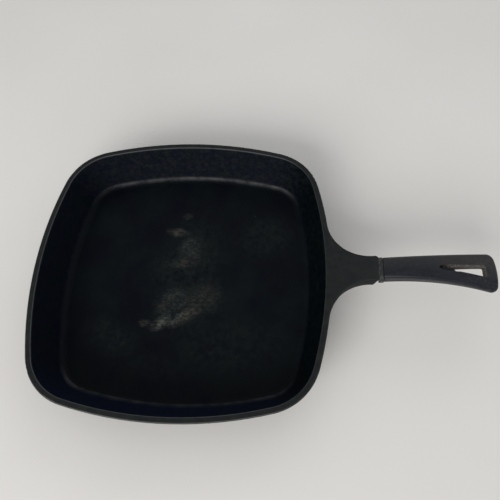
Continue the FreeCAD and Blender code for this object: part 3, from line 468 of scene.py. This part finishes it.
def moulded_grip():
    """Black phenolic: satin, painted lighter on its +Y side and painted darker on its -Y side as painted
    light and shade, scuffed on top and raw inside the slot, where it is also painted paler as painted
    light.
    """
    g = Graph("moulded_grip")
    lift = g.part(g.normal, "Z")
    along = g.part(g.place, "X")
    across = g.part(g.place, "Y")

    swirl = g.noise(11, detail=5, rough=0.6, stretch=(2.4, 1, 1))
    marbled = g.ramp(swirl, 0.35, 0.7)
    # The grip's marbled tone in a painted lit copy for its +Y side and a painted shaded copy for its -Y
    # side.
    painted_lit = g.mix(marbled, PAINTED_LIT_DARK, PAINTED_LIT_LIGHT)
    shaded = g.mix(marbled, SHADED_DARK, SHADED_LIGHT)
    side = g.ramp(across, -0.35 * GRIP_HIGH.y, 0.50 * GRIP_HIGH.y)
    colour = g.mix(side, shaded, painted_lit)

    scuffs = g.ramp(g.noise(1.1, detail=4, rough=0.7, stretch=(9, 1, 1), turn=0.05), 0.60, 0.74)
    worn = g.both(scuffs, g.ramp(lift, 0.1, 0.8))
    colour = g.mix(g.both(worn, 0.5), colour, SCUFF_GREY)

    handled = g.ramp(along, HANDLED_START, HANDLED_FULL)
    dust_patches = g.ramp(g.noise(2.4, detail=5, rough=0.75), 0.46, 0.68)
    dust = g.both(dust_patches, g.sum("ADD", g.both(handled, 0.5), 0.15))
    colour = g.mix(dust, colour, DUST_GREY)

    near_axis = g.ramp(g.sum("ABSOLUTE", across), RAW_HALF, RAW_FULL_HALF)
    raw = g.both(near_axis, g.ramp(lift, 0.97, 0.85), g.ramp(along, RAW_START, RAW_FULL))
    # The slot's raw chipped phenolic, painted paler than it is: painted light in the shaded slot.
    chips = g.ramp(g.noise(1.3, detail=5, rough=0.75), 0.36, 0.64)
    colour = g.mix(raw, colour, g.mix(chips, CHIP_DARK, CHIP_AND_PAINTED_LIGHT))

    rough = g.sum("ADD", g.ramp(swirl, 0.3, 0.7, 0.34, 0.46), g.both(g.either(worn, raw), 0.12))
    peel = g.bump(g.noise(1.6, detail=2, rough=0.5), 0.018)
    fine = g.bump(g.noise(0.35, detail=2, rough=0.5), 0.006, peel)
    return g.finish(colour, rough, fine, Specular_IOR_Level=0.26)


def grip_flash_highlight():
    """The parting line's phenolic, paler and browner than the grip's skin: a painted highlight on the
    real ridge, standing in for the worktop's light reflected along the grip's lower edge.
    """
    g = Graph("grip_flash_highlight")
    patchy = g.ramp(g.noise(3.5, detail=5, rough=0.7, stretch=(3, 1, 1)), 0.32, 0.66)
    colour = g.mix(patchy, FLASH_HIGHLIGHT_DIM, FLASH_HIGHLIGHT_BRIGHT)
    return g.finish(colour, g.ramp(patchy, 0.0, 1.0, 0.45, 0.6), Specular_IOR_Level=0.35)


def collar_steel():
    """Blackened steel with the blacking worn thin in patches."""
    g = Graph("collar_steel")
    rub = g.ramp(g.noise(1.6, detail=5, rough=0.7, stretch=(0.5, 2, 2)), 0.46, 0.7)
    colour = g.mix(rub, BLACKING, RUBBED_STEEL)
    rough = g.ramp(rub, 0.0, 1.0, 0.52, 0.36)
    grit = g.bump(g.noise(0.6, detail=3), 0.02)
    return g.finish(colour, rough, grit, Metallic=0.55)


def screw_steel():
    """Zinc-plated steel gone dull, with patches of dirt."""
    g = Graph("screw_steel")
    dirt = g.ramp(g.noise(1.3, detail=5, rough=0.7), 0.38, 0.68)
    colour = g.mix(dirt, ZINC, DIRT)
    rough = g.ramp(dirt, 0.0, 1.0, 0.30, 0.62)
    turned = g.bump(g.noise(0.4, detail=2), 0.012)
    return g.finish(colour, rough, turned, Metallic=0.85)


def table_top():
    """A pale worktop, very slightly uneven in tone."""
    g = Graph("table_top")
    colour = g.mix(g.ramp(g.noise(260, detail=3), 0.3, 0.7), TABLE_DARK, TABLE_LIGHT)
    return g.finish(colour, 0.55, g.bump(g.noise(1.2, detail=2), 0.01))


def paint(node, material):
    for slot in frame["nodes"][node].material_slots:
        slot.material = material


def dress_frame():
    """Gives every CAD node its finish."""
    steel = screw_steel()
    finishes = {
        "pan_casting": cast_iron(),
        "grip": moulded_grip(),
        "ferrule": collar_steel(),
        "handle_screw": steel,
        "lock_washer": steel,
    }
    for node, material in finishes.items():
        paint(node, material)


def side_point(tree, foot, outward, levels):
    """Where the grip is widest beyond foot, and the height in the middle of that widest band."""
    hits = []
    for level in levels:
        start = Vector((foot.x, foot.y, level)) + outward * RAY_REACH
        place = tree.ray_cast(start, -outward)[0]
        if place is not None:
            hits.append(((place - foot).dot(outward), level))
    widest = max(hits)[0]
    band = [level for out, level in hits if out > widest - WIDEST_SLACK]
    return foot + outward * widest, (min(band) + max(band)) / 2


def flash_feet():
    """Points on the grip's axis with the angle to look out at: down one side, round the end and back."""
    front_x = GRIP_LOW.x + FLASH_FRONT
    turn_x = GRIP_HIGH.x - END_SHARE * GRIP_HIGH.y
    step = (turn_x - front_x) / FLASH_STEPS
    side = [Vector((front_x + step * i, 0, 0)) for i in range(FLASH_STEPS)]
    turns = [180 * i / FLASH_STEPS - 90 for i in range(FLASH_STEPS + 1)]
    there = [(foot, -90) for foot in side]
    end = [(Vector((turn_x, 0, 0)), turn) for turn in turns]
    back = [(foot, 90) for foot in reversed(side)]
    return there + end + back


def flash_path(tree):
    """Points round the grip at the height where it is widest, with the way out at each."""
    steps = int((GRIP_HIGH.z - GRIP_LOW.z) / LEVEL_STEP)
    levels = [GRIP_LOW.z + (GRIP_HIGH.z - GRIP_LOW.z) * (i + 0.5) / steps for i in range(steps)]
    for foot, angle in flash_feet():
        outward = Vector((math.cos(math.radians(angle)), math.sin(math.radians(angle)), 0))
        place, level = side_point(tree, foot, outward, levels)
        yield Vector((place.x, place.y, level)), outward


def add_flash():
    """The fine raised line that the two halves of the mould leave round the grip."""
    grip = frame["nodes"]["grip"]
    points = [grip.matrix_world @ v.co for v in grip.data.vertices]
    tree = BVHTree.FromPolygons(points, [tuple(face.vertices) for face in grip.data.polygons])
    up = Vector((0, 0, FLASH_HALF))
    corners = []
    for place, outward in flash_path(tree):
        crest = min(place.x + outward.x * FLASH_RISE, GRIP_HIGH.x) - place.x
        tip = Vector((crest, outward.y * FLASH_RISE, 0))
        root = place - outward * FLASH_HALF
        corners += [root + up, place + tip, root - up]
    faces = []
    for i in range(0, len(corners) - 3, 3):
        faces += [(i, i + 1, i + 4, i + 3), (i + 1, i + 2, i + 5, i + 4)]
    mesh = bpy.data.meshes.new("parting_line")
    mesh.from_pydata(corners, [], faces)
    # The ridge is real; its pale colour is a painted highlight.
    mesh.materials.append(grip_flash_highlight())
    line = bpy.data.objects.new("parting_line", mesh)
    bpy.context.collection.objects.link(line)
    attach(line, "root")


def add_table():
    bpy.ops.mesh.primitive_plane_add(size=TABLE_SIZE, location=(0, 0, CAD_BOX[0][2]))
    table = bpy.context.object
    table.name = "table"
    table.data.materials.append(table_top())


def area_light(name, place, size, power, colour):
    """A rectangular light that faces the middle of the pan's foot."""
    data = bpy.data.lights.new(name, "AREA")
    data.shape = "RECTANGLE"
    data.size, data.size_y = size
    data.energy = power
    data.color = colour
    light = bpy.data.objects.new(name, data)
    light.location = place
    light.rotation_euler = (-Vector(place)).to_track_quat("-Z", "Y").to_euler()
    bpy.context.collection.objects.link(light)


def add_lights():
    """A large soft window light from the front left, a weaker one behind, and an even pale surround."""
    for light in LIGHTS:
        area_light(*light)
    world = bpy.data.worlds.new("surround")
    world.use_nodes = True
    surround = world.node_tree.nodes["Background"]
    surround.inputs["Color"].default_value = SURROUND_COLOUR
    surround.inputs["Strength"].default_value = SURROUND_STRENGTH
    bpy.context.scene.world = world


def add_camera():
    data = bpy.data.cameras.new("camera")
    data.lens = CAMERA_LENS
    data.sensor_width = SENSOR_WIDTH
    data.clip_start = CLIP_START
    camera = bpy.data.objects.new("camera", data)
    place = Vector((0, 0, RIM_LEVEL)) + CAMERA_FROM_RIM
    camera.matrix_world = (
        Matrix.Translation(place)
        @ Matrix.Rotation(CAMERA_YAW, 4, "Z")
        @ Matrix.Rotation(CAMERA_PITCH, 4, "X")
        @ Matrix.Rotation(CAMERA_ROLL, 4, "Z")
    )
    bpy.context.collection.objects.link(camera)
    bpy.context.scene.camera = camera


dress_frame()
add_flash()
add_table()
add_lights()
add_camera()
bpy.context.scene.view_settings.view_transform = "Standard"
